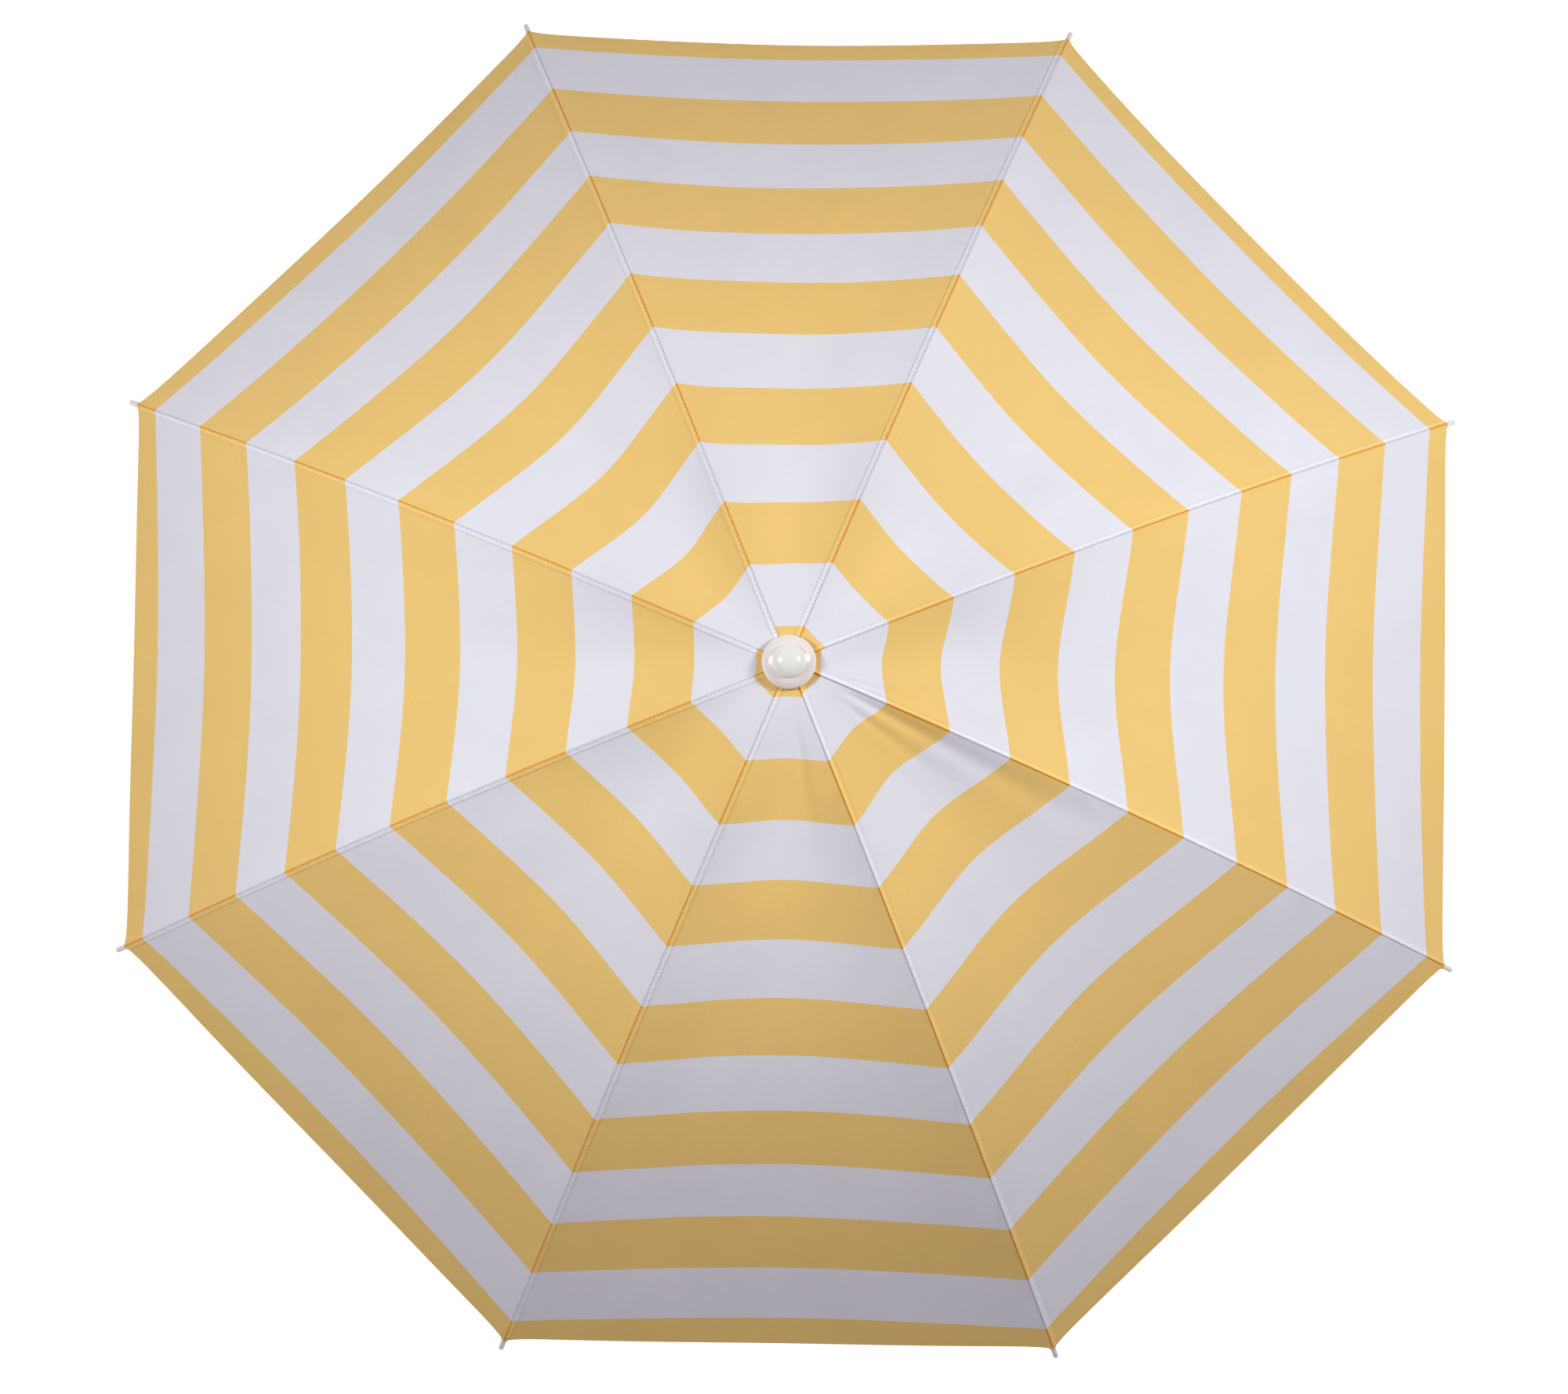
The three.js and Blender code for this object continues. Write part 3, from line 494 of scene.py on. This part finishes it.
# ---- materials -----------------------------------------------------------------------------------
class Nodes:
    """A short way to write a node material."""

    def __init__(self, name, **sockets):
        self.material = bpy.data.materials.new(name)
        self.material.use_nodes = True
        self.tree = self.material.node_tree
        self.shader = self.tree.nodes["Principled BSDF"]
        for socket, value in sockets.items():
            self.shader.inputs[socket.replace("_", " ")].default_value = value

    def add(self, kind, inputs=None, **settings):
        node = self.tree.nodes.new(kind)
        for key, value in settings.items():
            setattr(node, key, value)
        for key, value in (inputs or {}).items():
            self.put(node.inputs[key], value)
        return node

    def put(self, socket, value):
        if isinstance(value, bpy.types.NodeSocket):
            self.tree.links.new(value, socket)
        else:
            socket.default_value = value

    def math(self, operation, a, b=0.0, clamp=False):
        return self.add("ShaderNodeMath", {0: a, 1: b}, operation=operation, use_clamp=clamp).outputs[0]

    def mix(self, factor, a, b):
        node = self.add("ShaderNodeMix", data_type="RGBA")
        for socket, value in ((node.inputs["Factor"], factor), (node.inputs[6], a), (node.inputs[7], b)):
            self.put(socket, value)
        return node.outputs[2]

    def noise(self, vector, scale, detail=3.0, roughness=0.55):
        inputs = {"Vector": vector, "Scale": scale, "Detail": detail, "Roughness": roughness}
        return self.add("ShaderNodeTexNoise", inputs).outputs["Fac"]

    def place(self):
        return self.add("ShaderNodeTexCoord").outputs["Object"]

    def bump(self, height, strength, distance):
        inputs = {"Height": height, "Strength": strength, "Distance": distance}
        self.put(self.shader.inputs["Normal"], self.add("ShaderNodeBump", inputs).outputs["Normal"])


# The deeper yellow and white are painted shade: the stripes' colours as they look in the shadowed crease
# along each seam.
YELLOW = (0.850, 0.575, 0.178, 1)
YELLOW_IN_CREASE_SHADE = (0.740, 0.300, 0.022, 1)
WHITE = (0.760, 0.765, 0.850, 1)
WHITE_IN_CREASE_SHADE = (0.570, 0.595, 0.710, 1)


def fabric_material():
    """Striped woven polyester: the stripes follow the fabric's own grain, parallel to the hem."""
    m = Nodes("canopy_fabric", Roughness=0.82, Sheen_Weight=0.12, Sheen_Roughness=0.6)
    cloth = m.add("ShaderNodeAttribute", attribute_name="cloth").outputs["Vector"]
    split = m.add("ShaderNodeSeparateXYZ", {0: cloth}).outputs
    band = m.math("DIVIDE", m.math("SUBTRACT", split["Y"], FIRST_STRIPE - STRIPE), 2 * STRIPE)
    phase = m.math("FRACT", band)
    edge = DYE_EDGE / (2 * STRIPE)
    rise = m.math("DIVIDE", m.math("SUBTRACT", phase, 0.5 - edge), 2 * edge, clamp=True)
    wrap = m.math("DIVIDE", m.math("SUBTRACT", phase, 1 - edge), 2 * edge, clamp=True)
    start = m.math("DIVIDE", m.math("SUBTRACT", edge, phase), 2 * edge, clamp=True)
    white = m.math("SUBTRACT", m.math("SUBTRACT", rise, wrap), start, clamp=True)
    # Painted shade: a narrow line along each seam turns to the deeper colours, where the crease lies in
    # shadow.
    from_seam = m.math("ABSOLUTE", split["Z"])
    crease_shade = m.math("SUBTRACT", 1.9, m.math("DIVIDE", from_seam, CREASE_SHADE_WIDTH), clamp=True)
    # Painted highlight: the doubled cloth of each seam fold is made brighter, most at its middle, where its
    # raised roll would catch the light.
    from_fold = m.math("ABSOLUTE", m.math("ADD", m.math("DIVIDE", split["Z"], FOLD_HIGHLIGHT_MIDDLE), 1.0))
    fold_highlight = m.math("SUBTRACT", 1.0, from_fold, clamp=True)
    yellow = m.mix(crease_shade, YELLOW, YELLOW_IN_CREASE_SHADE)
    pale = m.mix(crease_shade, WHITE, WHITE_IN_CREASE_SHADE)
    colour = m.mix(white, yellow, pale)
    weave = woven_height(m, cloth)
    cloudy = m.noise(cloth, 9.0)
    grain = m.math("MULTIPLY", m.math("SUBTRACT", m.noise(cloth, 900.0, 2.0), 0.5), 0.16)
    cloud = m.math("MULTIPLY", m.math("SUBTRACT", cloudy, 0.5), 0.10)
    value = m.math("ADD", m.math("ADD", grain, cloud), 0.985)
    value = m.math("ADD", value, m.math("MULTIPLY", weave, 0.03))
    value = m.math("ADD", value, m.math("MULTIPLY", fold_highlight, 0.19))
    inputs = {"Color": colour, "Value": value}
    m.put(m.shader.inputs["Base Color"], m.add("ShaderNodeHueSaturation", inputs).outputs[0])
    rough = m.math("ADD", 0.76, m.math("MULTIPLY", cloudy, 0.12))
    m.put(m.shader.inputs["Roughness"], rough)
    m.bump(weave, 0.35, 0.00025)
    return m.material


def woven_height(m, cloth):
    """Plain weave: warp and weft threads a little over half a millimetre apart, slightly uneven."""
    uneven = m.add("ShaderNodeTexNoise", {"Vector": cloth, "Scale": 60.0, "Detail": 1.0}).outputs["Color"]
    shift = m.add("ShaderNodeVectorMath", {0: uneven, "Scale": 0.0004}, operation="SCALE").outputs[0]
    moved = m.add("ShaderNodeVectorMath", {0: cloth, 1: shift}, operation="ADD").outputs[0]
    split = m.add("ShaderNodeSeparateXYZ", {0: moved}).outputs
    turns = 2 * math.pi / THREAD_PITCH
    warp = m.math("SINE", m.math("MULTIPLY", split["X"], turns))
    weft = m.math("SINE", m.math("MULTIPLY", split["Y"], turns))
    return m.math("ADD", m.math("MULTIPLY", m.math("MULTIPLY", warp, weft), 0.5), 0.5)


def thread_material():
    """Off-white sewing thread, darker in its twist."""
    m = Nodes("thread", Roughness=0.6, Sheen_Weight=0.3)
    twist = m.noise(m.place(), 1800.0, 2.0)
    m.put(m.shader.inputs["Base Color"], m.mix(twist, (0.66, 0.60, 0.52, 1), (0.86, 0.80, 0.70, 1)))
    m.bump(twist, 0.4, 0.0001)
    return m.material


def pearl_material(name, light, dark, **extra):
    """Pearly moulded plastic: a clear gloss over a faintly clouded body."""
    m = Nodes(name, Roughness=0.22, Coat_Weight=0.8, Coat_Roughness=0.04, **extra)
    cloud = m.noise(m.place(), 60.0, 4.0)
    m.put(m.shader.inputs["Base Color"], m.mix(cloud, dark, light))
    fine = m.noise(m.place(), 700.0, 2.0)
    m.put(m.shader.inputs["Roughness"], m.math("ADD", 0.18, m.math("MULTIPLY", fine, 0.08)))
    m.bump(cloud, 0.05, 0.0004)
    return m.material


def plastic_material(name, light, dark, roughness, wear=0.10):
    """Moulded plastic: fine grain, slow mottling, and edges rubbed a little lighter."""
    m = Nodes(name)
    place = m.place()
    mottle = m.noise(place, 28.0, 4.0)
    grain = m.noise(place, 1400.0, 2.0)
    body = m.mix(mottle, dark, light)
    edge = m.add("ShaderNodeNewGeometry").outputs["Pointiness"]
    rubbed = m.math("MULTIPLY", m.math("SUBTRACT", edge, 0.52), 6.0, clamp=True)
    worn = m.math("MULTIPLY", rubbed, m.math("ADD", m.noise(place, 90.0), wear), clamp=True)
    m.put(m.shader.inputs["Base Color"], m.mix(worn, body, (0.97, 0.97, 0.96, 1)))
    m.put(m.shader.inputs["Roughness"], m.math("ADD", roughness, m.math("MULTIPLY", grain, 0.12)))
    m.bump(grain, 0.15, 0.00015)
    return m.material


def enamel_material():
    """White enamel on a steel tube: slight orange peel, and scratches along the tube."""
    m = Nodes("white_enamel", Coat_Weight=0.3, Coat_Roughness=0.15)
    place = m.place()
    peel = m.noise(place, 320.0, 2.0)
    stretched = m.add("ShaderNodeMapping", {"Vector": place, "Scale": (1, 1, 0.04)}).outputs[0]
    scratch = m.math("GREATER_THAN", m.noise(stretched, 420.0, 2.0, 0.7), 0.70)
    tone = m.mix(m.noise(place, 12.0), (0.80, 0.80, 0.78, 1), (0.88, 0.88, 0.87, 1))
    worn = m.math("MULTIPLY", scratch, 0.35)
    m.put(m.shader.inputs["Base Color"], m.mix(worn, tone, (0.55, 0.56, 0.57, 1)))
    m.put(m.shader.inputs["Roughness"], m.math("ADD", 0.28, m.math("MULTIPLY", peel, 0.14)))
    m.bump(peel, 0.12, 0.0003)
    return m.material


def zinc_material():
    """Zinc-plated steel: drawn lines along the part and a cloudy tarnish."""
    m = Nodes("zinc", Metallic=1.0)
    place = m.place()
    stretched = m.add("ShaderNodeMapping", {"Vector": place, "Scale": (1, 1, 0.03)}).outputs[0]
    lines = m.noise(stretched, 900.0, 3.0, 0.65)
    tarnish = m.noise(place, 35.0, 5.0)
    m.put(m.shader.inputs["Base Color"], m.mix(tarnish, (0.52, 0.53, 0.55, 1), (0.74, 0.75, 0.77, 1)))
    m.put(m.shader.inputs["Roughness"], m.math("ADD", 0.24, m.math("MULTIPLY", lines, 0.22)))
    m.bump(lines, 0.2, 0.0001)
    return m.material


def rod_material():
    """Drawn fibreglass: faint fibres along the rod under a satin skin."""
    m = Nodes("rib_rod", Coat_Weight=0.2, Coat_Roughness=0.3)
    place = m.place()
    fibres = m.noise(place, 260.0, 4.0, 0.7)
    m.put(m.shader.inputs["Base Color"], m.mix(fibres, (0.66, 0.66, 0.63, 1), (0.82, 0.82, 0.79, 1)))
    m.put(m.shader.inputs["Roughness"], m.math("ADD", 0.34, m.math("MULTIPLY", fibres, 0.16)))
    m.bump(fibres, 0.2, 0.0002)
    return m.material


def finish_cad_nodes(plastic, enamel, zinc, rod):
    """Gives every CAD part that is kept its material and smooth round faces."""
    looks = {"white_plastic": plastic, "white_enamel": enamel, "zinc": zinc, "rib_rod": rod}
    slot_of = {s["node"]: s["material_slot"] for s in frame["record"]["subparts"]}
    for name, node in frame["nodes"].items():
        look = looks.get(slot_of[name])
        if look is None:
            continue
        node.data.materials.clear()
        node.data.materials.append(look)
        node.data.polygons.foreach_set("use_smooth", np.ones(len(node.data.polygons), bool))
        node.data.set_sharp_from_angle(angle=math.radians(35))


# ---- stage, lights and camera --------------------------------------------------------------------
def softbox(name, x, y, power):
    """A soft disc of light above the canopy, aimed at its top."""
    data = bpy.data.lights.new(name, "AREA")
    data.shape = "DISK"
    data.size = SOFTBOX
    data.energy = power
    data.color = SOFTBOX_TINT
    light = bpy.data.objects.new(name, data)
    bpy.context.scene.collection.objects.link(light)
    light.visible_camera = False
    place = Vector((x, y, SOFTBOX_HEIGHT))
    light.location = place
    light.rotation_euler = (Vector((0, 0, APEX)) - place).to_track_quat("-Z", "Y").to_euler()


def build_floor():
    """A wide sheet of white paper that glows a little, just under the spike's point."""
    half, z = 120, -0.001
    mesh = bpy.data.meshes.new("floor")
    corners = [(-half, -half, z), (half, -half, z), (half, half, z), (-half, half, z)]
    mesh.from_pydata(corners, [], [[0, 1, 2, 3]])
    floor = bpy.data.objects.new("floor", mesh)
    bpy.context.scene.collection.objects.link(floor)
    paper = Nodes("floor_paper", Roughness=0.9, Base_Color=(0.95, 0.95, 0.95, 1),
                  Emission_Color=(1, 1, 1, 1), Emission_Strength=0.82)
    mesh.materials.append(paper.material)


def build_world():
    """A dim, faintly pink room for the light, and a plain white one behind everything."""
    world = bpy.data.worlds.new("studio")
    world.use_nodes = True
    soft = world.node_tree.nodes["Background"]
    soft.inputs["Color"].default_value = (1.0, 0.88, 0.93, 1)
    soft.inputs["Strength"].default_value = 0.235
    backdrop = world.node_tree.nodes.new("ShaderNodeBackground")
    backdrop.inputs["Color"].default_value = (1, 1, 1, 1)
    path = world.node_tree.nodes.new("ShaderNodeLightPath")
    mix = world.node_tree.nodes.new("ShaderNodeMixShader")
    links = world.node_tree.links
    links.new(path.outputs["Is Camera Ray"], mix.inputs[0])
    links.new(soft.outputs[0], mix.inputs[1])
    links.new(backdrop.outputs[0], mix.inputs[2])
    links.new(mix.outputs[0], world.node_tree.nodes["World Output"].inputs["Surface"])
    bpy.context.scene.world = world


def build_camera():
    """A long lens almost straight above the canopy."""
    tilt = math.radians(5.2)
    roll = math.radians(0.86)
    distance = 9.12 * REACH
    aim = Vector((-0.0049, -0.0087, APEX - 0.333))
    away = Vector((0, -math.sin(tilt), math.cos(tilt)))
    data = bpy.data.cameras.new("camera")
    data.sensor_width = 36
    data.lens = 149.6
    data.clip_end = 100
    camera = bpy.data.objects.new("camera", data)
    bpy.context.scene.collection.objects.link(camera)
    right = Vector((1, 0, 0))
    up = away.cross(right)
    turn = Matrix((right, up, away)).transposed() @ Matrix.Rotation(roll, 3, "Z")
    camera.matrix_world = Matrix.Translation(aim + away * distance) @ turn.to_4x4()
    bpy.context.scene.camera = camera


bpy.context.scene.view_settings.view_transform = "Standard"
build_camera()
build_floor()
build_world()
softbox("softbox_left", -1.16, 0.18, 15.4)
softbox("softbox_right", 1.39, 0.45, 21.4)
fabric_look = fabric_material()
plastic_look = plastic_material("white_plastic", (0.86, 0.86, 0.84, 1), (0.80, 0.80, 0.78, 1), 0.38)
canopy_pieces(fabric_look, thread_material())
finial_pieces(
    pearl_material("pearl_pink", (0.92, 0.85, 0.82, 1), (0.87, 0.79, 0.76, 1)),
    pearl_material("pearl_white", (0.86, 0.89, 0.85, 1), (0.82, 0.86, 0.81, 1)),
)
rib_tip_pieces(plastic_look, fabric_look)
finish_cad_nodes(plastic_look, enamel_material(), zinc_material(), rod_material())
